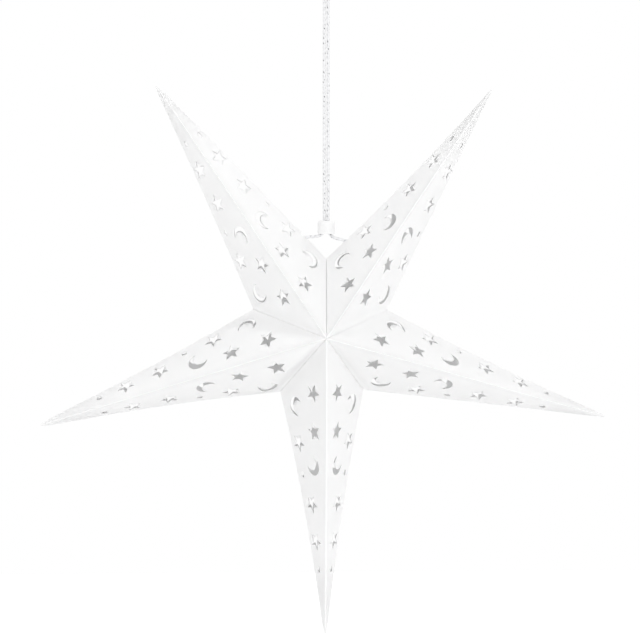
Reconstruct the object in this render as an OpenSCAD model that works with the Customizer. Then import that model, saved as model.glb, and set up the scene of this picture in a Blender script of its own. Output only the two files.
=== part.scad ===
// Folded paper star with stars and moons cut through every face.
// Five hollow points, each one sheet of white card folded into four faces, are glued
// side by side round the hub. The last two points part at a slit, and a doubled cord
// drawn through a sliding stopper pulls that slit shut and hangs the star.
// The front faces -Y, +X is to the right and +Z is up.
// The origin is the top of the hanging loop, on the cord's centre line.

/* [Star] */
// From the hub's middle to the tip of a point
tip_reach = 236; // [190:1:280]
// From the hub's middle to the corner between two points
corner_reach = 56; // [46:1:66]
// From the star's middle plane to the hub's peak, in front and behind
hub_height = 60; // [45:1:75]
// Extra reach of the bottom point, which hangs free
bottom_extra = 6; // [0:0.5:12]
// Opening of the slit between the two upper points, at their corners
slit_open = 0.6; // [0.4:0.1:3]

/* [Card] */
// Thickness of the folded card
card_t = 0.4; // [0.3:0.05:0.6]
// Width of the flange that is glued to the next point
flange_w = 9; // [6:0.5:12]
// Distance from the hub's axis at which a flange starts
flange_start = 4; // [3:0.5:8]
// Length over which it widens to its full width
flange_taper = 9; // [6:0.5:14]
// Film of glue between two flanges
glue_t = 0.1; // [0.05:0.05:0.2]

/* [Cut-outs] */
// Radius of a cut-out star, to its tips
star_r = 7.8; // [5:0.1:8.2]
// Radius of a star's inner corners
star_inner_r = 3.3; // [2:0.1:4]
// Radius of a moon's outer edge
moon_r = 7.8; // [6:0.1:8.2]
// Radius of the bite that hollows a moon
moon_bite_r = 6.3; // [4.5:0.1:6.8]
// Distance from a moon's centre to the centre of its bite
moon_bite_shift = 3.4; // [2:0.1:4.5]
// Length of a dot
dot_l = 4.8; // [3:0.1:6]
// Width of a dot
dot_w = 3.2; // [2:0.1:4]

/* [Cord] */
// Diameter of the cord
cord_d = 2.6; // [2:0.1:2.8]
// Clearance round the cord where it goes through the card
hole_gap = 0.35; // [0.2:0.05:0.8]
// Diameter of the knot at each end of the cord
knot_d = 6.4; // [5:0.1:7]
// Length of the knot, along the cord
knot_l = 5; // [4:0.1:6]
// Free tail behind each knot
tail_l = 6; // [3:0.5:10]

/* [Stopper] */
// Outer diameter of the stopper
stopper_d = 13.4; // [12:0.1:15]
// Height of the stopper
stopper_h = 10.5; // [9:0.5:16]
// Rounding of the stopper's top edge
stopper_round = 2; // [1:0.1:2.4]
// Rounding of the stopper's bottom edge
stopper_lip_round = 0.3; // [0.1:0.05:0.3]
// Clearance round the two strands in the stopper's bore
bore_gap = 0.35; // [0.2:0.05:0.5]
// Depth of the flared mouth under the bore
mouth_h = 4; // [3:0.1:5]
// Thickness of the wall at the mouth's lip
lip_t = 0.6; // [0.4:0.05:0.8]

/* [Hidden] */

// The hub's middle, under the loop and a little to its left
hub = [-2, 0, -290];

// Directions seen from the front, in degrees anticlockwise from +X, going round
// clockwise from the slit. The glued-up star sits a little uneven, as the cord
// draws its upper points together.
corner_dirs = [88.5, 20, -55, -126.5, -199, -271.5];
tip_dirs = [55.5, -16.5, -89.5, -162, -236];
upper_right = 0;
right = 1;
bottom = 2;
left = 3;
upper_left = 4;

// Pattern of one face: shape, place along the ridge from tip to hub, place across
// from the ridge to the outer fold, both as shares of the face, and turn in degrees
// from the ridge's own direction towards the fold
pattern = [
    ["dot", 0.22, 0.58, 0],
    ["star", 0.312, 0.6, -86],
    ["star", 0.432, 0.587, -90],
    ["moon", 0.564, 0.4, 51],
    ["dot", 0.518, 0.8, 10],
    ["star", 0.68, 0.304, 90],
    ["star", 0.62, 0.772, -90],
    ["moon", 0.741, 0.675, -106],
    ["star", 0.807, 0.343, -88]
];

// The cord's route in the middle plane, as X and Z, from the left knot up round the
// loop and down to the right knot
strand_x = 1.55;
cord_route = [
    [-22.4, -215.32], [-18, -214.8], [-13, -214.3], [-8.5, -213.9], [-5.7, -213.4],
    [-3.5, -212.2], [-2.1, -210.3], [-strand_x, -207.6], [-strand_x, -185],
    [-strand_x, -145], [-strand_x, -100], [-strand_x, -60], [-strand_x, -29],
    [-1.85, -24], [-2.9, -19], [-4.6, -14], [-6, -9.6], [-6.3, -6.3],
    [-5.45, -3.15], [-3.15, -0.85], [0, 0], [3.15, -0.85], [5.45, -3.15],
    [6.3, -6.3], [6, -9.6], [4.6, -14], [2.9, -19], [1.85, -24], [strand_x, -29],
    [strand_x, -60], [strand_x, -100], [strand_x, -145], [strand_x, -185],
    [strand_x, -207.6], [2.1, -210.5], [3.8, -213.1], [6.3, -214.8], [11.5, -216.3],
    [15, -217.1], [18.8, -218.02]
];
cord_sides = 8;
stopper_base = -212;

slit_turn = asin(slit_open / 2 / corner_reach);
bore_r = strand_x + cord_d / 2 + bore_gap;
far = 3 * tip_reach;
cut_reach = 1.5;

function dir(a) = [cos(a), 0, sin(a)];
function unit(v) = v / norm(v);
function reach(i) = tip_reach + (i == bottom ? bottom_extra : 0);
function upper_side(i) = corner_dirs[i] - (i == upper_right ? slit_turn : 0);
function lower_side(i) = corner_dirs[i + 1] + (i == upper_left ? slit_turn : 0);

// The three corners of a face: tip, hub peak and outer corner. Faces 0 and 1 are in
// front, 2 and 3 behind; even faces lie on the upper side going clockwise.
function tip(i) = reach(i) * dir(tip_dirs[i]);
function peak(k) = [0, k < 2 ? -hub_height : hub_height, 0];
function corner(i, k) = corner_reach * dir(k % 2 == 0 ? upper_side(i) : lower_side(i));

// A face's own axes: along its ridge, across towards its fold, and square to it
function along(i, k) = unit(peak(k) - tip(i));
function fold_run(i, k) = (corner(i, k) - tip(i)) * along(i, k);
function across(i, k) = unit(corner(i, k) - tip(i) - fold_run(i, k) * along(i, k));
function square_to(i, k) = cross(along(i, k), across(i, k));
function outward(i, k) = sign(square_to(i, k) * tip(i));
function ridge_l(i, k) = norm(peak(k) - tip(i));
function face_w(i, k) = (corner(i, k) - tip(i)) * across(i, k);

// Width of a face between its ridge and its outer edge, at a distance from the tip
function width_at(i, k, u) = face_w(i, k) * min(u / fold_run(i, k),
    (ridge_l(i, k) - u) / (ridge_l(i, k) - fold_run(i, k)));

module on_face(i, k) {
    a = along(i, k);
    b = across(i, k);
    c = square_to(i, k);
    t = tip(i);
    multmatrix([[a.x, b.x, c.x, t.x],
                [a.y, b.y, c.y, t.y],
                [a.z, b.z, c.z, t.z],
                [0, 0, 0, 1]]) children();
}

// Everything that lies deeper than depth under a face
module under_face(i, k, depth) {
    on_face(i, k)
        translate([-far, -far, outward(i, k) > 0 ? -far - depth : depth])
            cube([2 * far, 2 * far, far]);
}

// The sector that one point fills, drawn in by inset from its neighbours
module sector(i, inset) {
    a = upper_side(i);
    b = lower_side(i);
    middle = (a + b) / 2;
    start = inset / sin((a - b) / 2) * dir(middle);
    ends = [for (d = [a, middle, b]) start + far * dir(d)];
    rotate([90, 0, 0])
        linear_extrude(height = 3 * hub_height, center = true)
            polygon([for (p = concat([start], ends)) [p.x, p.z]]);
}

// Everything that lies deeper than depth under all four faces of a point
module under_faces(i, depth) {
    intersection() {
        under_face(i, 0, depth);
        under_face(i, 1, depth);
        under_face(i, 2, depth);
        under_face(i, 3, depth);
    }
}

// The open middle of a point's side, between the flanges along its two edges
module side_window(side) {
    slope = sqrt(1 + pow(hub_height / corner_reach, 2));
    edge = function(x, w) [x, hub_height * (1 - x / corner_reach) - w * slope];
    start = edge(flange_start, 0);
    full = edge(flange_start + flange_taper, flange_w);
    point = [corner_reach * (1 - flange_w * slope / hub_height), 0];
    rotate([0, -side, 0])
        linear_extrude(height = 4 * (card_t + glue_t), center = true)
            polygon([point, full, start, [-1, start.y + 1], [-1, -start.y - 1],
                     [start.x, -start.y], [full.x, -full.y]]);
}

// A point's hollow, open at both sides towards its neighbours
module hollow(i) {
    intersection() {
        under_faces(i, card_t);
        union() {
            sector(i, glue_t / 2 + card_t);
            side_window(upper_side(i));
            side_window(lower_side(i));
        }
    }
}

module star_cut() {
    polygon([for (n = [0 : 9]) (n % 2 == 0 ? star_r : star_inner_r)
             * [cos(36 * n), sin(36 * n)]]);
}

module moon_cut() {
    difference() {
        circle(r = moon_r, $fn = 48);
        translate([moon_bite_shift, 0]) circle(r = moon_bite_r, $fn = 48);
    }
}

module dot_cut() {
    for (s = [-1, 1])
        translate([s * (dot_l - dot_w) / 2, 0]) circle(d = dot_w, $fn = 24);
    square([dot_l - dot_w, dot_w], center = true);
}

module face_cuts(i, k) {
    on_face(i, k)
        for (cut = pattern) {
            u = cut[1] * ridge_l(i, k);
            translate([u, cut[2] * width_at(i, k, u), 0])
                rotate([0, 0, cut[3]])
                    linear_extrude(height = 2 * cut_reach, center = true) {
                        if (cut[0] == "star") star_cut();
                        if (cut[0] == "moon") moon_cut();
                        if (cut[0] == "dot") dot_cut();
                    }
        }
}

// A round rod on the line between two points of the cord's route, its seam turned
// away from the folds
module rod(from, to, r) {
    run = to - from;
    seam_turn = 45;
    translate([from.x, 0, from.y])
        rotate([0, 90 - atan2(run.y, run.x), 0])
            rotate([0, 0, seam_turn])
                cylinder(h = norm(run), r = r, $fn = 32);
}

// The holes that the cord's two ends go through, into the upper points
module cord_holes() {
    last = len(cord_route) - 1;
    hole_r = cord_d / 2 + hole_gap;
    rod(cord_route[0], cord_route[2], hole_r);
    rod(cord_route[last], cord_route[last - 2], hole_r);
}

module star_point(i) {
    color("white")
        difference() {
            translate(hub)
                difference() {
                    intersection() {
                        under_faces(i, 0);
                        sector(i, glue_t / 2);
                    }
                    hollow(i);
                    for (k = [0 : 3]) face_cuts(i, k);
                }
            if (i == upper_right || i == upper_left) cord_holes();
        }
}

// Direction of the cord at each of its points, and the ring of corners there
function cord_turn(n) = let (
    a = cord_route[max(n - 1, 0)],
    b = cord_route[min(n + 1, len(cord_route) - 1)]
) atan2(b.y - a.y, b.x - a.x);
function cord_ring(n) = [for (s = [0 : cord_sides - 1])
    let (t = 360 * s / cord_sides, r = cord_d / 2, a = cord_turn(n))
    [cord_route[n].x - r * cos(t) * sin(a), r * sin(t),
     cord_route[n].y + r * cos(t) * cos(a)]];

module hanging_cord() {
    rings = len(cord_route);
    walls = [for (n = [0 : rings - 2]) for (s = [0 : cord_sides - 1])
        [n * cord_sides + s, n * cord_sides + (s + 1) % cord_sides,
         (n + 1) * cord_sides + (s + 1) % cord_sides, (n + 1) * cord_sides + s]];
    start_cap = [for (s = [cord_sides - 1 : -1 : 0]) s];
    end_cap = [for (s = [0 : cord_sides - 1]) (rings - 1) * cord_sides + s];
    color("gainsboro")
        polyhedron(points = [for (n = [0 : rings - 1]) each cord_ring(n)],
                   faces = concat(walls, [start_cap, end_cap]), convexity = 6);
}

module cord_stopper() {
    outer_r = stopper_d / 2;
    color("whitesmoke")
        translate([0, 0, stopper_base])
            rotate_extrude($fn = 64)
                difference() {
                    union() {
                        square([outer_r - stopper_round, stopper_h]);
                        translate([0, stopper_lip_round])
                            square([outer_r, stopper_h - stopper_round - stopper_lip_round]);
                        square([outer_r - stopper_lip_round, stopper_h / 2]);
                        translate([outer_r - stopper_round, stopper_h - stopper_round])
                            circle(r = stopper_round, $fn = 32);
                        translate([outer_r - stopper_lip_round, stopper_lip_round])
                            circle(r = stopper_lip_round, $fn = 16);
                    }
                    translate([-1, -1]) square([bore_r + 1, stopper_h + 2]);
                    polygon([[0, 0], [outer_r - lip_t, 0], [bore_r, mouth_h], [0, mouth_h]]);
                    translate([0, -1]) square([outer_r - lip_t, 1]);
                }
}

// A knot drawn tight at the cord's end, with its cut tail behind it
module end_knot(end, before) {
    run = end - before;
    flat = cord_d / 2;
    color("gainsboro")
        translate([end.x, 0, end.y])
            rotate([0, 90 - atan2(run.y, run.x), 0]) {
                rotate_extrude($fn = 48)
                    union() {
                        square([flat, knot_l]);
                        intersection() {
                            translate([flat, knot_l / 2])
                                scale([1, knot_l / (knot_d - cord_d)])
                                    circle(d = knot_d - cord_d, $fn = 48);
                            square([knot_d, knot_l]);
                        }
                    }
                translate([0, 0, knot_l - 0.5])
                    cylinder(h = tail_l + 0.5, d = cord_d, $fn = 32);
            }
}

star_point(upper_right);  // point_upper_right
star_point(right);  // point_right
star_point(bottom);  // point_bottom
star_point(left);  // point_left
star_point(upper_left);  // point_upper_left
hanging_cord();
cord_stopper();
end_knot(cord_route[0], cord_route[1]);  // end_knot_left
end_knot(cord_route[len(cord_route) - 1], cord_route[len(cord_route) - 2]);  // end_knot_right
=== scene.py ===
# %% [markdown]
# A folded card star, dressed for its picture
#
# The star is five hollow points of white card, glued side by side round a hub and
# pierced all over with stars, moons and dots. A twisted cord with silver threads pulls
# the last slit shut through a moulded stopper and hangs the star.
# The shapes come in as a fixed frame. This lesson bends the card as real card bends,
# lays the cord ply by ply, and gives card, cord and plastic their finishes.

# %% Load the fixed frame
import math

import bmesh
import bpy
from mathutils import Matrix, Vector, noise


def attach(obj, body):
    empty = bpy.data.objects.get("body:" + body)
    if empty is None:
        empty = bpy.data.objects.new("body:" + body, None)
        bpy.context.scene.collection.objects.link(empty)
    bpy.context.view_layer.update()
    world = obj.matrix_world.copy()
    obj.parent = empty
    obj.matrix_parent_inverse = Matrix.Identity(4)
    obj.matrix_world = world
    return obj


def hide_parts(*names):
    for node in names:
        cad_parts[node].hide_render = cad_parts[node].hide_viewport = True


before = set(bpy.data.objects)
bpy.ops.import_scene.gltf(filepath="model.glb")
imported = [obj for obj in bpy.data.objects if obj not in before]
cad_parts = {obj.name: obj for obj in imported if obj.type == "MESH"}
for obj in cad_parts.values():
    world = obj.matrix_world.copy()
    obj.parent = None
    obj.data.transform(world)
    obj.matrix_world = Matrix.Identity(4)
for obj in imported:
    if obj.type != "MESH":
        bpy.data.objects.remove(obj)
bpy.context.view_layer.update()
MM = 0.001
print("nodes:", sorted(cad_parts))

# %% [markdown]
# Sizes
#
# Everything that follows is worked out from the star's own sizes, in metres. The star
# lies in the X-Z plane with its front towards -Y, and hangs from the origin. Directions
# go round clockwise from the slit, in degrees anticlockwise from +X.

# %% The star's sizes
HUB = Vector((-2, 0, -290)) * MM
TIP_REACH = 236 * MM
BOTTOM_EXTRA = 6 * MM
CORNER_REACH = 56 * MM
HUB_HEIGHT = 60 * MM
TIP_DIRECTIONS = (55.5, -16.5, -89.5, -162, -236)
CORNER_DIRECTIONS = (88.5, 20, -55, -126.5, -199, -271.5)
POINTS = ("point_upper_right", "point_right", "point_bottom", "point_left",
          "point_upper_left")
BOTTOM = POINTS.index("point_bottom")


def direction(degrees):
    """A unit vector in the star's plane."""
    turn = math.radians(degrees)
    return Vector((math.cos(turn), 0, math.sin(turn)))


# %% [markdown]
# The camera
#
# The photograph looks at the star almost square on, from a little above and a little to
# the left, so the front peak sits low and right of the star's middle. A long lens keeps
# the points' lengths even. The camera aims at the spot that lies in the picture's
# middle, and no lens shift is needed.
#
# PICTURE is the picture's side in pixels, SCALE the pixels to the metre in the star's
# middle plane, and HUB_PIXEL the place of the hub's middle in the picture.

# %% Camera
PICTURE = 640
SCALE = 1271
DISTANCE = 1.6
SENSOR_WIDTH = 36
NEAR, FAR = 0.1, 20
HEIGHT_ANGLE, SIDE_ANGLE = math.radians(3.5), math.radians(-2.2)
HUB_PIXEL = (323.6, 333.2)

towards_camera = Vector((math.sin(SIDE_ANGLE) * math.cos(HEIGHT_ANGLE),
                         -math.cos(SIDE_ANGLE) * math.cos(HEIGHT_ANGLE),
                         math.sin(HEIGHT_ANGLE)))
aim = HUB + Vector((PICTURE / 2 - HUB_PIXEL[0], 0, HUB_PIXEL[1] - PICTURE / 2)) / SCALE
camera_data = bpy.data.cameras.new("camera")
camera_data.sensor_width = SENSOR_WIDTH
camera_data.lens = SENSOR_WIDTH * SCALE * DISTANCE / PICTURE
camera_data.clip_start, camera_data.clip_end = NEAR, FAR
camera = bpy.data.objects.new("camera", camera_data)
camera.location = aim + towards_camera * DISTANCE
camera.rotation_euler = (-towards_camera).to_track_quat("-Z", "Y").to_euler()
bpy.context.scene.collection.objects.link(camera)
bpy.context.scene.camera = camera
print("lens %.1f mm at %.2f m" % (camera_data.lens, DISTANCE))

# %% [markdown]
# The cord's route
#
# One length of cord starts at a knot inside the upper left point, leaves through a hole
# in the fold, turns up through the stopper, makes the hanging loop and comes back down
# to its knot in the upper right point. A rounded curve through a few chosen points gives
# the line that the plies follow. The points are X and Z in millimetres.

# %% Route of the cord
CORD_D = 2.6 * MM
CORD_STEP = 0.8 * MM
STRAND_X = 1.55
ROUTE = [(-22.4, -215.32), (-18, -214.8), (-13, -214.3), (-8.5, -213.9), (-5.7, -213.4),
         (-3.5, -212.2), (-2.1, -210.3), (-STRAND_X, -207.6), (-STRAND_X, -185),
         (-STRAND_X, -145), (-STRAND_X, -100), (-STRAND_X, -60), (-STRAND_X, -29),
         (-1.85, -24), (-2.9, -19), (-4.6, -14), (-6, -9.6), (-6.3, -6.3),
         (-5.45, -3.15), (-3.15, -0.85), (0, 0), (3.15, -0.85), (5.45, -3.15),
         (6.3, -6.3), (6, -9.6), (4.6, -14), (2.9, -19), (1.85, -24), (STRAND_X, -29),
         (STRAND_X, -60), (STRAND_X, -100), (STRAND_X, -145), (STRAND_X, -185),
         (STRAND_X, -207.6), (2.1, -210.5), (3.8, -213.1), (6.3, -214.8),
         (11.5, -216.3), (15, -217.1), (18.8, -218.02)]


def rounded(points, step):
    """A smooth line through the points, cut into steps of about one length."""
    ends = [2 * points[0] - points[1], *points, 2 * points[-1] - points[-2]]
    line = []
    for a, b, c, d in zip(ends, ends[1:], ends[2:], ends[3:]):
        count = max(1, round((c - b).length / step))
        p, q, r = ((v - w).length ** 0.5 for v, w in ((b, a), (c, b), (d, c)))
        out = (b - a) / p - (c - a) / (p + q) + (c - b) / q
        back = (c - b) / q - (d - b) / (q + r) + (d - c) / r
        for n in range(count):
            s = n / count
            line.append(b * (2 * s ** 3 - 3 * s ** 2 + 1) + out * q * (s ** 3 - 2 * s ** 2 + s)
                        + c * (3 * s ** 2 - 2 * s ** 3) + back * q * (s ** 3 - s ** 2))
    return line + [points[-1]]


def length_of(line):
    return sum((b - a).length for a, b in zip(line, line[1:]))


cord_line = rounded([Vector((x, 0, z)) * MM for x, z in ROUTE], CORD_STEP)
print("cord %.0f mm long, %d steps" % (length_of(cord_line) / MM, len(cord_line)))

# %% [markdown]
# A cord laid in plies
#
# The cord is three cotton plies twisted together, with a fine silver thread in each
# groove. A plain tube would look like wire, so the cross-section is worked out as the
# outline of six circles, three plies and three threads, and that outline is swept along
# the route while it turns. A face belongs to a thread where a thread's circle reaches
# furthest, which is where it gets its own finish.

# %% Sweep twisted plies along a line
PLY_R, PLY_OUT = 0.64 * MM, 0.66 * MM
THREAD_R, THREAD_OUT = 0.2 * MM, 0.9 * MM
TWIST_PITCH = 13.2 * MM
CIRCLES = 6
RING = 36


def ply_reach(angle):
    """How far the plies and threads reach at an angle, and whether a thread does."""
    best = (0, False)
    for k in range(CIRCLES):
        radius, out = (PLY_R, PLY_OUT) if k % 2 == 0 else (THREAD_R, THREAD_OUT)
        off = angle - k * 2 * math.pi / CIRCLES
        inside = radius ** 2 - (out * math.sin(off)) ** 2
        if inside > 0 and math.cos(off) > 0:
            best = max(best, (out * math.cos(off) + math.sqrt(inside), k % 2 == 1))
    return best


def lay_plies(name, line, size=1.0, turn=0.0):
    """A closed mesh of twisted plies along a line, with a UV map round and along it."""
    mesh = bmesh.new()
    around = [2 * math.pi * k / RING for k in range(RING)]
    reach = [ply_reach(a) for a in around]
    uv = mesh.loops.layers.uv.new("UVMap")
    side = Vector((0, 1, 0))
    rings, along, run = [], [], 0.0
    for n, point in enumerate(line):
        ahead = (line[min(n + 1, len(line) - 1)] - line[max(n - 1, 0)]).normalized()
        side = (side - ahead * side.dot(ahead)).normalized()
        other = ahead.cross(side)
        run += (point - line[n - 1]).length if n else 0
        twist = turn - 2 * math.pi * run / TWIST_PITCH
        rings.append([mesh.verts.new(point + size * r * (side * math.cos(a + twist)
                                                         + other * math.sin(a + twist)))
                      for a, (r, _) in zip(around, reach)])
        along.append(run)
    for n, (low, high) in enumerate(zip(rings, rings[1:])):
        for k in range(RING):
            j = (k + 1) % RING
            face = mesh.faces.new((low[k], low[j], high[j], high[k]))
            face.smooth = True
            face.material_index = int(reach[k][1] or reach[j][1])
            for loop, u, v in zip(face.loops, (k, k + 1, k + 1, k),
                                  (along[n], along[n], along[n + 1], along[n + 1])):
                loop[uv].uv = (u / RING, v / TWIST_PITCH)
    mesh.faces.new(rings[0])
    mesh.faces.new(list(reversed(rings[-1])))
    bmesh.ops.recalc_face_normals(mesh, faces=mesh.faces)
    return finished(mesh, name)


def finished(mesh, name):
    """Turns a bmesh into a linked object whose place is in its mesh."""
    data = bpy.data.meshes.new(name)
    mesh.to_mesh(data)
    mesh.free()
    piece = bpy.data.objects.new(name, data)
    bpy.context.scene.collection.objects.link(piece)
    return piece


cord = lay_plies("twisted_cord", cord_line)
print("cord has %d faces" % len(cord.data.polygons))

# %% [markdown]
# The knots
#
# Each end of the cord is tied in an overhand knot behind its hole, and a short tail is
# left. The knot is the same twisted cord along a trefoil, drawn tight, so the cord is
# pressed thinner in it. The trefoil stays open where the cord comes in and goes out.

# %% Tie the knots
KNOT_D, KNOT_L, TAIL_L = 6.4 * MM, 5 * MM, 6 * MM
KNOT_LEAD = 0.5 * MM
KNOT_RISE = 1.1 * MM
KNOT_STEPS, KNOT_STEP = 24, 0.5 * MM
TREFOIL_START, TREFOIL_PART = -0.42, 0.92
TIED_WIDTH, TIED_SIZE = 0.9, 0.8


def knot_line(end, before):
    """A trefoil that starts where the cord ends and leaves a tail behind it."""
    ahead = (end - before).normalized()
    across = Vector((0, 1, 0)).cross(ahead)
    middle = end + ahead * KNOT_L / 2
    swing = (KNOT_D - CORD_D * TIED_WIDTH) / 6
    loops = []
    for n in range(KNOT_STEPS + 1):
        t = math.pi * (TREFOIL_START + 2 * TREFOIL_PART * n / KNOT_STEPS)
        loops.append(middle
                     + across * swing * (math.sin(t) + 2 * math.sin(2 * t))
                     + Vector((0, 1, 0)) * swing * (math.cos(t) - 2 * math.cos(2 * t))
                     + ahead * KNOT_RISE * -math.sin(3 * t))
    return [end - ahead * KNOT_LEAD, *loops, end + ahead * (KNOT_L + TAIL_L)]


knots = []
for name, end, before in (("end_knot_left", cord_line[0], cord_line[1]),
                          ("end_knot_right", cord_line[-1], cord_line[-2])):
    line = rounded(knot_line(end, before), KNOT_STEP)
    knot = lay_plies(name + "_tied", line, size=TIED_SIZE)
    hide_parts(name)
    knots.append(knot)
print("knots tied:", [knot.name for knot in knots])

# %% [markdown]
# The stopper
#
# The stopper is a small moulded barrel. Half of its section is drawn once, with the
# rounded shoulder, the bore and the flared mouth that lets the strands fan out, and is
# spun round the cord. Spinning gives an even, closed wall with no seam.

# %% Spin the stopper
STOPPER_BASE = -212 * MM
STOPPER_R, STOPPER_H = 6.7 * MM, 10.5 * MM
SHOULDER, LIP_ROUND, LIP_T, MOUTH_H = 2 * MM, 0.3 * MM, 0.6 * MM, 4 * MM
BORE_GAP = 0.35 * MM
BORE_R = STRAND_X * MM + CORD_D / 2 + BORE_GAP
TOP_ROUND = 0.4 * MM
SPIN_STEPS = 96
STOPPER_EDGE = 35
MERGE = 1e-6


def arc(middle, radius, start, end, steps):
    """Points on part of a circle in the X-Z plane, angles in degrees."""
    return [middle + radius * direction(start + (end - start) * n / steps)
            for n in range(steps + 1)]


def spin_stopper():
    top = STOPPER_BASE + STOPPER_H
    section = [Vector((BORE_R, 0, STOPPER_BASE + MOUTH_H)),
               Vector((STOPPER_R - LIP_T, 0, STOPPER_BASE))]
    section += arc(Vector((STOPPER_R - LIP_ROUND, 0, STOPPER_BASE + LIP_ROUND)),
                   LIP_ROUND, -90, 0, 4)
    section += arc(Vector((STOPPER_R - SHOULDER, 0, top - SHOULDER)), SHOULDER, 0, 90, 10)
    section += arc(Vector((BORE_R + TOP_ROUND, 0, top - TOP_ROUND)), TOP_ROUND, 90, 180, 5)
    mesh = bmesh.new()
    corners = [mesh.verts.new(p) for p in section]
    edges = [mesh.edges.new(pair) for pair in zip(corners, corners[1:] + corners[:1])]
    bmesh.ops.spin(mesh, geom=corners + edges, cent=(0, 0, 0), axis=(0, 0, 1),
                   angle=2 * math.pi, steps=SPIN_STEPS, use_merge=True, use_duplicate=False)
    bmesh.ops.remove_doubles(mesh, verts=mesh.verts, dist=MERGE)
    bmesh.ops.recalc_face_normals(mesh, faces=mesh.faces)
    for face in mesh.faces:
        face.smooth = True
    return finished(mesh, "stopper_moulding")


stopper = spin_stopper()
stopper.data.set_sharp_from_angle(angle=math.radians(STOPPER_EDGE))
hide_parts("cord_stopper")
print("stopper has %d faces" % len(stopper.data.polygons))

# %% [markdown]
# How folded card bends
#
# The frame's points have dead flat faces and straight folds. Real card keeps its
# cut-outs and folds where they are, but it never lies flat: a face bows between its
# folds, an outer fold draws in at the waist, and a face swells just before it dives
# into a valley. Each of these is a small, smooth move of at most a few millimetres.
# A move of a valley is shared by the two points that are glued there, so they still
# meet. The numbers were matched to the photograph, fold by fold, in millimetres. Each
# pair gives a point's side towards its first corner, then its other side. Where a row
# has six numbers, they belong to the six corners, first and last at the slit.

# %% How much each point's card bends
# How far a corner moves, outwards and then round
CORNER_DRAWN = ((2.9, -0.5), (-2.6, 0), (-1.2, 0), (1.4, 0), (2.4, 0), (2.9, -0.5))
# How far an outer fold stands outside its straight line, at the tip and half way in
RIM_AT_TIP = ((-0.4, 0.4), (0.2, 1.0), (0.4, 2.0), (0.9, 1.6), (0.9, 0.2))
RIM_AT_MIDDLE = ((-1.6, -1.2), (-2.8, -0.2), (-2.4, -1.0), (-1.4, 0.2), (0.6, 2.2))
# How far the middle of a face bows out, the height and length of the waves over it, and
# what keeps the points' waves apart
BOW = ((0.4, 0.8), (0.8, 1.1), (0.5, 0.4), (1.1, 1.2), (0.7, 0.4))
RIPPLE, RIPPLE_SIZE = 0.35 * MM, 45 * MM
RIPPLE_SHIFT = 7.3
# How far a face swells, how far from its valley, and how fast that dies out beyond
SWELL = ((0.0, 0.4), (0.5, 1.2), (0.5, 0.1), (4.4, 3.2), (0.8, 0.3))
SWELL_RISE = ((6, 8), (10, 8), (6, 6), (13, 16), (8, 6))
SWELL_FALL = 12 * MM
# That distance's share at the hub, what it gains by the corner, and how many corner
# distances out it stops growing
RISE_AT_HUB, RISE_GAIN, RISE_END = 0.4, 0.6, 1.2
# How far from the hub a swell is whole, and how steeply it ends at outer fold and ridge
SWELL_START = 25 * MM
SWELL_AT_FOLD, SWELL_AT_RIDGE = 5, 2.2
# The unit of rounding, each point's share of it at its ridge, and each seam's share
ROUNDING = 1.3 * MM
CREASE_SHARE = (0.12, 0.12, 0.6, 0.2, 0.15)
SEAM_SHARE = (0, 2.6, 0.8, 0.4, 0.8, 0)
# Half widths of a point from which its ridge and its seams have their whole rounding
CREASE_WHOLE, SEAM_WHOLE = 3 * MM, 5 * MM
# The gap left at each seam, the frame's own gap, and how fast the closing fades past it
SEAM_GAP = (0.1, 0.01, 0.05, 0.06, 0.08, 0.1)
SEAM_GAP_CAD = 0.1
SEAM_FADE = 8
# The share of the slit by the hub that keeps its shape, the width that the rest is drawn
# shut to, and its width at the corner in the frame
SLIT_CLOSED, SLIT_WIDTH, SLIT_CAD = 0.03, 0.15 * MM, 0.6 * MM

# %% [markdown]
# A copy of a point is merged, cut into a grid fine enough to bend, and moved vertex by
# vertex. The grid comes from flat cuts across the point, along it, and beside each fold
# and valley, which leave every cut-out's outline as it was. The closest cuts let a crease
# turn over a small radius instead of a knife edge.
#
# First comes a small class that knows where a place lies on one folded point.

# %% Places on a folded point


def smooth_step(x):
    x = min(max(x, 0), 1)
    return x * x * (3 - 2 * x)


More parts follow.
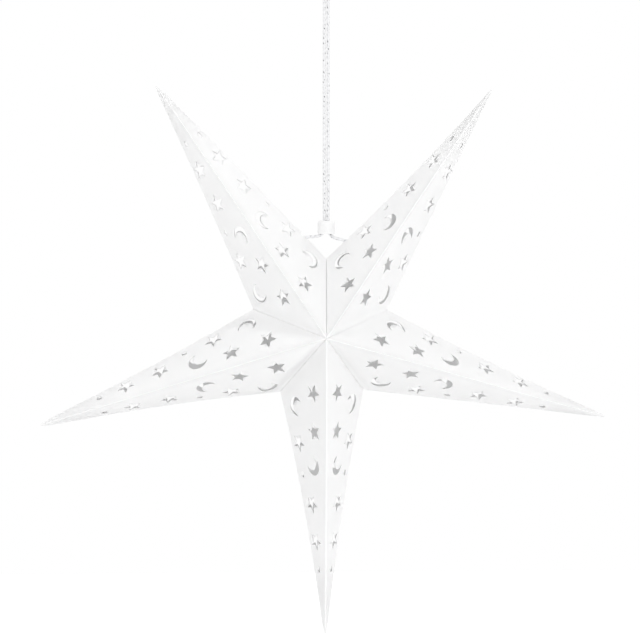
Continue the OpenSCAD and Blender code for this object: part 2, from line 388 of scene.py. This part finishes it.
class Fold:
    """One point: its ridge along out, and on each side a valley, a corner and a rim."""

    def __init__(self, index):
        self.index = index
        self.out = direction(TIP_DIRECTIONS[index])
        self.side = direction(TIP_DIRECTIONS[index] + 90)
        self.reach = TIP_REACH + (BOTTOM_EXTRA if index == BOTTOM else 0)
        self.corner, self.valley, self.drawn, self.closed = {}, {}, {}, {}
        self.seam_round = {}
        for sign, which in ((1, index), (-1, index + 1)):
            turn = CORNER_DIRECTIONS[which]
            place = CORNER_REACH * direction(turn)
            self.corner[sign] = (place.dot(self.out), abs(place.dot(self.side)))
            self.valley[sign] = direction(turn - 90) * sign
            self.seam_round[sign] = SEAM_SHARE[which] * ROUNDING
            self.closed[sign] = self.valley[sign] * (SEAM_GAP[which] - SEAM_GAP_CAD) / 2 * MM
            radial, across = CORNER_DRAWN[which]
            self.drawn[sign] = (direction(turn) * radial + direction(turn + 90) * across) * MM

    def half_width(self, sign, along):
        corner_along, corner_width = self.corner[sign]
        if along < corner_along:
            return corner_width * max(along, 0) / corner_along
        return corner_width * max(self.reach - along, 0) / (self.reach - corner_along)

    def outward(self, sign, front):
        corner_along, corner_width = self.corner[sign]
        slope = (1 - corner_along / self.reach) / corner_width
        return (self.out / self.reach + self.side * sign * slope
                + Vector((0, front / HUB_HEIGHT, 0))).normalized()

    def beside_slit(self, sign):
        return (self.index, sign) in ((0, 1), (len(POINTS) - 1, -1))

    def rim_move(self, sign, along):
        """Where the valley or the outer fold on one side is drawn to."""
        corner_along, corner_width = self.corner[sign]
        drawn = self.drawn[sign]
        if along < corner_along:
            share = max(along, 0) / corner_along
            if not self.beside_slit(sign):
                return drawn * share + self.closed[sign]
            open_by = smooth_step(share / SLIT_CLOSED - 1) * (SLIT_WIDTH - SLIT_CAD * share)
            return drawn * share + self.valley[sign] * open_by / 2
        run = min((self.reach - along) / (self.reach - corner_along), 1)
        square = (self.out * corner_width
                  + self.side * sign * (self.reach - corner_along)).normalized()
        pick = 0 if sign == 1 else 1
        tip = RIM_AT_TIP[self.index][pick] * MM
        bulge = RIM_AT_MIDDLE[self.index][pick] * MM - (tip + drawn.dot(square)) / 2
        move = drawn * run + square * (tip * (1 - run) + 4 * bulge * run * (1 - run))
        seam = self.closed[sign]
        if self.beside_slit(sign):
            seam = self.valley[sign] * (SLIT_WIDTH - SLIT_CAD) / 2
        return move + seam * run ** SEAM_FADE


folds = [Fold(n) for n in range(len(POINTS))]
print("half widths at the corners:",
      ["%.1f / %.1f mm" % (fold.corner[1][1] / MM, fold.corner[-1][1] / MM) for fold in folds])

# %% [markdown]
# A spot is one place on one point: how far out it lies, how far from the ridge and from
# the valley, and which share of the way from ridge to outer fold. Three moves are worked
# out from it. The face lifts outwards, the folds shift in the star's plane, and the
# ridge and the seams are rounded, because a knife edge would catch no light.

# %% Move one spot on the card
NARROWEST = 0.01 * MM


class Spot:
    """One place on a folded point, measured from the hub, the ridge and the valley."""

    def __init__(self, place, fold):
        p = place - HUB
        beside = p.dot(fold.side)
        self.place, self.fold = place, fold
        self.along = p.dot(fold.out)
        self.sign = 1 if beside >= 0 else -1
        self.pick = 0 if self.sign == 1 else 1
        self.front = -1 if p.y < 0 else 1
        self.corner_along, self.corner_width = fold.corner[self.sign]
        self.from_ridge = abs(beside)
        self.from_valley = p.dot(fold.valley[self.sign])
        self.width = max(fold.half_width(self.sign, self.along), NARROWEST)
        self.share = min(self.from_ridge / self.width, 1)
        self.outward = fold.outward(self.sign, self.front)


def face_lift(spot):
    """How far a face bows, swells and ripples out at a spot."""
    index, share = spot.fold.index, spot.share
    arch = 4 * share * (1 - share)
    run = min(max(spot.along / spot.fold.reach, 0), 1)
    bow = BOW[index][spot.pick] * MM * arch * math.sin(math.pi * run)
    gain = RISE_GAIN * min(spot.along / spot.corner_along, RISE_END)
    rise = SWELL_RISE[index][spot.pick] * (RISE_AT_HUB + gain) * MM
    beyond = max(spot.from_valley - rise, 0)
    ramp = smooth_step(spot.from_valley / rise) * math.exp(-beyond / SWELL_FALL)
    ramp *= smooth_step(spot.along / SWELL_START)
    ramp *= smooth_step((2 * spot.corner_along - spot.along) / spot.corner_along)
    ramp *= min(1, (1 - share) * SWELL_AT_FOLD) * smooth_step(share * SWELL_AT_RIDGE)
    swell = SWELL[index][spot.pick] * MM * ramp
    waves = Vector((index * RIPPLE_SHIFT, 0, spot.front))
    return bow + swell + RIPPLE * noise.noise(spot.place / RIPPLE_SIZE + waves) * arch


def fold_shift(spot):
    """How far the ridge and the outer fold take a spot along in the star's plane."""
    fold = spot.fold
    rim = {side: fold.rim_move(side, spot.along) for side in (1, -1)}
    past = (spot.along - spot.corner_along) / (fold.reach - spot.corner_along)
    ridge = (rim[1] + rim[-1]) / 2 * min(max(past, 0), 1) ** 2
    return ridge + (rim[spot.sign] - ridge) * smooth_step(spot.share)


def rounding(spot):
    """How far a spot sinks towards the middle plane where a ridge or seam is rounded."""
    fold, sunk = spot.fold, 0
    crease = CREASE_SHARE[fold.index] * ROUNDING * smooth_step(spot.width / CREASE_WHOLE)
    if spot.from_ridge < crease:
        slope = HUB_HEIGHT * (fold.reach - spot.corner_along) / (fold.reach * spot.corner_width)
        sunk += slope * (crease - spot.from_ridge) ** 2 / (2 * crease)
    seam = fold.seam_round[spot.sign] * smooth_step(spot.width / SEAM_WHOLE)
    if 0 <= spot.along < spot.corner_along and spot.from_valley < seam:
        lean = spot.outward.dot(fold.valley[spot.sign]) / abs(spot.outward.y)
        sunk += lean * (seam - spot.from_valley) ** 2 / (2 * seam)
    return sunk


def bent(place, fold):
    spot = Spot(place, fold)
    moved = place + spot.outward * face_lift(spot) + fold_shift(spot)
    moved.y -= spot.front * rounding(spot)
    return moved


# %% Cut the grid
GRID = 5 * MM
SIDE_CUTS = 6
RIDGE_CUTS = (0.35, 0.7, 1.2, 2, 3.2)
VALLEY_CUTS = (0.6, 1.3, 2.2, 3.3, 4.6, 6.2, 8.2, 11)
CREASE_CUTS = (0.3, 0.65, 1.0, 1.3, 2.2)
FOLD_CUTS = (0.15, 0.35, 0.8)
CUT_SNAP = 1e-7


def cut_grid(mesh, fold):
    """Cuts a point's mesh by flat planes, closest together beside its folds."""

    def cut(distance, normal):
        geometry = mesh.verts[:] + mesh.edges[:] + mesh.faces[:]
        bmesh.ops.bisect_plane(mesh, geom=geometry, dist=CUT_SNAP, plane_no=normal,
                               plane_co=HUB + normal * distance)

    for n in range(1, int(fold.reach / GRID)):
        cut(GRID * n, fold.out)
    for k in range(1, SIDE_CUTS + 1):
        cut(GRID * k, fold.side)
        cut(GRID * k, -fold.side)
    for sign in (1, -1):
        for step in VALLEY_CUTS:
            cut(step * MM, fold.valley[sign])
        for step in RIDGE_CUTS:
            cut(step * MM, fold.side * sign)
        for step in CREASE_CUTS:
            cut(step * CREASE_SHARE[fold.index] * MM, fold.side * sign)
        for step in FOLD_CUTS:
            cut(step * MM, Vector((0, sign, 0)))
    bmesh.ops.triangulate(mesh, faces=[f for f in mesh.faces if len(f.verts) > 4])


# %% [markdown]
# Painted shade on the ridges and painted light on the seams
#
# Card that lets light through renders with a bright line along each ridge and a dark
# line along each seam, more than the photograph shows. So each place on a point carries
# two numbers, one that grows towards the ridge and one that grows towards the seam. The
# card's colour is painted a little darker with the first, as painted shade over the
# ridge's light, and a little whiter with the second, as painted light over the seam's
# shade.

# %% Painted shade along ridges, painted light along seams
# How much painted shade each point's ridge gets, then how far the ridge's painted shade and the
# seam's painted light reach
RIDGE_PAINTED_SHADE = (1, 1, 0.5, 1, 1)
RIDGE_SHADE_REACH, SEAM_LIGHT_REACH = 2.2 * MM, 2 * MM
# Strength of a soft band of painted shade along the ridge and of a line in it, three
# times as narrow
RIDGE_SHADE_BAND, RIDGE_SHADE_LINE, LINE_NARROWER = 0.3, 0.5, 3


def bell(x):
    """1 at 0, and less and less to both sides."""
    return math.exp(-x ** 2)


# Gives every vertex a painted shade number near the ridge and a painted light number near each
# seam
def lay_painted_light(mesh, fold):
    ridge_painted_shade = mesh.verts.layers.float.new("ridge_painted_shade")
    seam_painted_light = mesh.verts.layers.float.new("seam_painted_light")
    for vert in mesh.verts:
        p = vert.co - HUB
        sign = 1 if p.dot(fold.side) >= 0 else -1
        off = p.dot(fold.side) / RIDGE_SHADE_REACH
        tone = RIDGE_SHADE_BAND * bell(off) + RIDGE_SHADE_LINE * bell(LINE_NARROWER * off)
        vert[ridge_painted_shade] = RIDGE_PAINTED_SHADE[fold.index] * tone
        vert[seam_painted_light] = bell(p.dot(fold.valley[sign]) / SEAM_LIGHT_REACH)


# %% Bend all five points
CARD_EDGE = 38


def bend_point(fold):
    name = POINTS[fold.index]
    mesh = bmesh.new()
    mesh.from_mesh(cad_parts[name].data)
    bmesh.ops.remove_doubles(mesh, verts=mesh.verts, dist=MERGE)
    cut_grid(mesh, fold)
    lay_painted_light(mesh, fold)
    for vert in mesh.verts:
        vert.co = bent(vert.co, fold)
    for face in mesh.faces:
        face.smooth = True
    piece = finished(mesh, name.replace("point", "card_point"))
    piece.data.set_sharp_from_angle(angle=math.radians(CARD_EDGE))
    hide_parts(name)
    return piece


cards = [bend_point(fold) for fold in folds]
print("card points:", {card.name: len(card.data.polygons) for card in cards})

# %% [markdown]
# Materials
#
# Each finish starts from what the real one is. One function turns a hex colour into the
# renderer's linear numbers and one adds a node with its settings and links. Patterns on
# the card and the stopper are scaled in real millimetres on Object coordinates, and those
# on the cord on its own UV map. A Mix node has several sockets of one name, so the two
# colours that go in and the one that comes out are found by number.

# %% Helpers for materials
FIRST, SECOND, MIXED = 6, 7, 2


def colour(hex_text):
    """An sRGB hex colour as linear numbers."""
    parts = [int(hex_text[n:n + 2], 16) / 255 for n in (1, 3, 5)]
    return [c / 12.92 if c <= 0.04045 else ((c + 0.055) / 1.055) ** 2.4
            for c in parts] + [1]


def add(tree, kind, settings=None, **links):
    """Adds a node; links name its inputs with underscores and give what feeds them."""
    node = tree.nodes.new(kind)
    for key, value in (settings or {}).items():
        if hasattr(node, key):
            setattr(node, key, value)
        else:
            node.inputs[key].default_value = value
    for key, source in links.items():
        tree.links.new(source, node.inputs[key.replace("_", " ")])
    return node


def material(name):
    made = bpy.data.materials.new(name)
    made.use_nodes = True
    tree = made.node_tree
    return made, tree, tree.nodes["Principled BSDF"]


# %% [markdown]
# Smooth white card, 300 grams to the square metre. It is die-cut from a matt board, so
# it has hardly any gloss, a very fine felt-like grain, and a faint cloudiness where the
# fibres lie thicker. The grain of such a board is too fine to show, so it is drawn
# coarser than it is. The card is thin enough to let a little light through, which keeps
# the inside of the star from going black behind the cut-outs.

# %% Card
CARD_WHITE, CARD_CLOUD = "#F8F8F8", "#F5F5F5"
# The card's colour under painted shade on the ridges and under painted light on the seams
CARD_RIDGE_SHADE, CARD_SEAM_LIGHT = "#E6E6E6", "#FEFEFE"
GRAIN_SIZE = 0.35 * MM
CLOUD_SIZE = 9 * MM
LIGHT_REACH = 1.2 * MM


def make_card():
    made, tree, shader = material("matt white card")
    place = add(tree, "ShaderNodeTexCoord").outputs["Object"]
    cloud = add(tree, "ShaderNodeTexNoise", {"Scale": 1 / CLOUD_SIZE, "Detail": 4,
                                             "Roughness": 0.6}, Vector=place)
    tone = add(tree, "ShaderNodeMix", {"data_type": "RGBA"}, Factor=cloud.outputs["Fac"])
    tone.inputs[FIRST].default_value = colour(CARD_WHITE)
    tone.inputs[SECOND].default_value = colour(CARD_CLOUD)
    # Painted shade darkens the card towards the ridges, painted light whitens it towards the
    # seams
    for layer, shade in (("ridge_painted_shade", CARD_RIDGE_SHADE), ("seam_painted_light", CARD_SEAM_LIGHT)):
        share = add(tree, "ShaderNodeAttribute", {"attribute_name": layer}).outputs["Fac"]
        below = tone.outputs[MIXED]
        tone = add(tree, "ShaderNodeMix", {"data_type": "RGBA"}, Factor=share)
        tree.links.new(below, tone.inputs[FIRST])
        tone.inputs[SECOND].default_value = colour(shade)
    tree.links.new(tone.outputs[MIXED], shader.inputs["Base Color"])
    grain = add(tree, "ShaderNodeTexNoise", {"Scale": 1 / GRAIN_SIZE, "Detail": 3},
                Vector=place)
    bump = add(tree, "ShaderNodeBump", {"Strength": 0.12, "Distance": 0.03 * MM},
               Height=grain.outputs["Fac"])
    tree.links.new(bump.outputs["Normal"], shader.inputs["Normal"])
    shader.inputs["Roughness"].default_value = 0.72
    shader.inputs["Specular IOR Level"].default_value = 0.3
    shader.inputs["Subsurface Weight"].default_value = 1.0
    shader.inputs["Subsurface Radius"].default_value = (1.0, 1.0, 1.0)
    shader.inputs["Subsurface Scale"].default_value = LIGHT_REACH
    return made


card = make_card()

# %% [markdown]
# Twisted cotton cord. The plies are soft, off-white spun cotton, so they are fully
# rough, with fibres that follow the twist. The threads in the grooves are flat
# metallised film, which mirrors whatever is beside it. Their base colour is their own
# light silver, broken by specks of painted dark reflection that stand in for the
# sparkle. Both patterns lie on the UV map, where 1 is once round the cord or one
# turn of the twist along it. So seven specks to a turn of 13.2 mm come about every 1.9 mm.

# %% Cord
COTTON, COTTON_SHADE = "#F3F3F3", "#D3D3D5"
# The thread's own light silver, and the dark of its painted reflection specks
SILVER, SILVER_PAINTED_REFLECTION = "#E6E7E9", "#3A3B40"
FIBRE_SCALE = (10, 5, 1)
REFLECTION_SPECK_SCALE = (6, 7, 1)
REFLECTION_SPECK_EDGES = (0.58, 0.62)


def make_cotton():
    made, tree, shader = material("spun cotton")
    place = add(tree, "ShaderNodeUVMap", {"uv_map": "UVMap"}).outputs["UV"]
    stretch = add(tree, "ShaderNodeMapping", {"Scale": FIBRE_SCALE}, Vector=place)
    fibres = add(tree, "ShaderNodeTexNoise", {"Scale": 1, "Detail": 3, "Roughness": 0.65},
                 Vector=stretch.outputs["Vector"])
    tone = add(tree, "ShaderNodeMix", {"data_type": "RGBA"}, Factor=fibres.outputs["Fac"])
    tone.inputs[FIRST].default_value = colour(COTTON_SHADE)
    tone.inputs[SECOND].default_value = colour(COTTON)
    tree.links.new(tone.outputs[MIXED], shader.inputs["Base Color"])
    bump = add(tree, "ShaderNodeBump", {"Strength": 0.5, "Distance": 0.06 * MM},
               Height=fibres.outputs["Fac"])
    tree.links.new(bump.outputs["Normal"], shader.inputs["Normal"])
    shader.inputs["Roughness"].default_value = 0.9
    shader.inputs["Sheen Weight"].default_value = 0.2
    return made


def make_silver():
    made, tree, shader = material("metallised thread")
    place = add(tree, "ShaderNodeUVMap", {"uv_map": "UVMap"}).outputs["UV"]
    stretch = add(tree, "ShaderNodeMapping", {"Scale": REFLECTION_SPECK_SCALE}, Vector=place)
    painted_reflection_specks = add(tree, "ShaderNodeTexNoise", {"Scale": 1, "Detail": 1},
                 Vector=stretch.outputs["Vector"])
    # Painted reflection: the noise breaks the thread's own silver into dark specks
    steps = add(tree, "ShaderNodeValToRGB", Fac=painted_reflection_specks.outputs["Fac"])
    for stop, edge, shade in zip(steps.color_ramp.elements, REFLECTION_SPECK_EDGES, (SILVER, SILVER_PAINTED_REFLECTION)):
        stop.position, stop.color = edge, colour(shade)
    tree.links.new(steps.outputs["Color"], shader.inputs["Base Color"])
    shader.inputs["Metallic"].default_value = 0.35
    shader.inputs["Roughness"].default_value = 0.35
    return made


cotton, silver = make_cotton(), make_silver()

# %% [markdown]
# Moulded polythene. The stopper is a milky white plastic with a soft sheen and a
# slightly waxy depth, so it has a little subsurface light and a fine moulding texture.

# %% Stopper plastic
PLASTIC_WHITE, PLASTIC_CLOUD = "#ECECEC", "#E8E8E8"
MOULD_GRAIN = 0.6 * MM
WAXY_DEPTH = 1.5 * MM


def make_plastic():
    made, tree, shader = material("moulded polythene")
    place = add(tree, "ShaderNodeTexCoord").outputs["Object"]
    skin = add(tree, "ShaderNodeTexNoise", {"Scale": 1 / MOULD_GRAIN, "Detail": 2},
               Vector=place)
    bump = add(tree, "ShaderNodeBump", {"Strength": 0.08, "Distance": 0.02 * MM},
               Height=skin.outputs["Fac"])
    tree.links.new(bump.outputs["Normal"], shader.inputs["Normal"])
    tone = add(tree, "ShaderNodeMix", {"data_type": "RGBA"}, Factor=skin.outputs["Fac"])
    tone.inputs[FIRST].default_value = colour(PLASTIC_WHITE)
    tone.inputs[SECOND].default_value = colour(PLASTIC_CLOUD)
    tree.links.new(tone.outputs[MIXED], shader.inputs["Base Color"])
    shader.inputs["Roughness"].default_value = 0.38
    shader.inputs["IOR"].default_value = 1.51
    shader.inputs["Subsurface Weight"].default_value = 0.3
    shader.inputs["Subsurface Radius"].default_value = (1.0, 1.0, 1.0)
    shader.inputs["Subsurface Scale"].default_value = WAXY_DEPTH
    return made


plastic = make_plastic()

# %% Give each piece its finish, its slot and its body
for piece in cards:
    piece.data.materials.clear()
    piece.data.materials.append(card)
    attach(piece, "star")
for piece in [cord, *knots]:
    piece.data.materials.append(cotton)
    piece.data.materials.append(silver)
    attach(piece, "star")
stopper.data.materials.append(plastic)
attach(stopper, "stopper")

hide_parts("hanging_cord")

# %% [markdown]
# Light and background
#
# The photograph is lit from all round in a white studio, with a little more from the
# right, so neighbouring faces differ by only a few shades. An even white world gives
# most of the light and one large soft lamp gives the rest. What the camera sees behind
# the star is plain white. The lamp's place is taken from the hub, in metres, and its
# power is in watts.

# %% Floor, world and lamp
FLOOR_Z = -0.78
FLOOR_HALF = 1.6
FLOOR_WHITE = "#F4F4F4"
WORLD_LEVEL = 1.1
LAMP_PLACE = Vector((0.9, -2.3, 0.15))
LAMP_SIZE = 1.1
LAMP_POWER = 7.5
FLOOR_LIFT = 0.3


def seen_directly(tree):
    """1 for rays from the camera and for what gloss and glass show, 0 for the rest."""
    path = add(tree, "ShaderNodeLightPath")
    seen = path.outputs["Is Camera Ray"]
    for ray in ("Is Glossy Ray", "Is Transmission Ray"):
        either = add(tree, "ShaderNodeMath", {"operation": "MAXIMUM"})
        tree.links.new(seen, either.inputs[0])
        tree.links.new(path.outputs[ray], either.inputs[1])
        seen = either.outputs[0]
    return seen


def make_floor():
    mesh = bmesh.new()
    bmesh.ops.create_grid(mesh, x_segments=1, y_segments=1, size=FLOOR_HALF)
    bmesh.ops.translate(mesh, verts=mesh.verts, vec=(0, 0, FLOOR_Z))
    floor = finished(mesh, "floor")
    made, tree, shader = material("pale floor")
    shader.inputs["Base Color"].default_value = colour(FLOOR_WHITE)
    shader.inputs["Roughness"].default_value = 0.9
    lift = add(tree, "ShaderNodeMath", {"operation": "MULTIPLY"})
    tree.links.new(seen_directly(tree), lift.inputs[0])
    lift.inputs[1].default_value = FLOOR_LIFT
    shader.inputs["Emission Color"].default_value = (1, 1, 1, 1)
    tree.links.new(lift.outputs[0], shader.inputs["Emission Strength"])
    floor.data.materials.append(made)


def make_world():
    world = bpy.data.worlds.new("white studio")
    world.use_nodes = True
    tree = world.node_tree
    back = tree.nodes["Background"]
    level = add(tree, "ShaderNodeMix", {"data_type": "FLOAT"}, Factor=seen_directly(tree))
    level.inputs[2].default_value = WORLD_LEVEL
    level.inputs[3].default_value = 1
    tree.links.new(level.outputs[0], back.inputs["Strength"])
    back.inputs["Color"].default_value = (1, 1, 1, 1)
    bpy.context.scene.world = world


def make_lamp():
    data = bpy.data.lights.new("soft lamp", "AREA")
    data.shape, data.size, data.energy = "DISK", LAMP_SIZE, LAMP_POWER
    lamp = bpy.data.objects.new("soft_lamp", data)
    lamp.location = HUB + LAMP_PLACE
    lamp.rotation_euler = (-LAMP_PLACE).to_track_quat("-Z", "Y").to_euler()
    bpy.context.scene.collection.objects.link(lamp)


make_floor()
make_world()
make_lamp()
bpy.context.scene.view_settings.view_transform = "Standard"
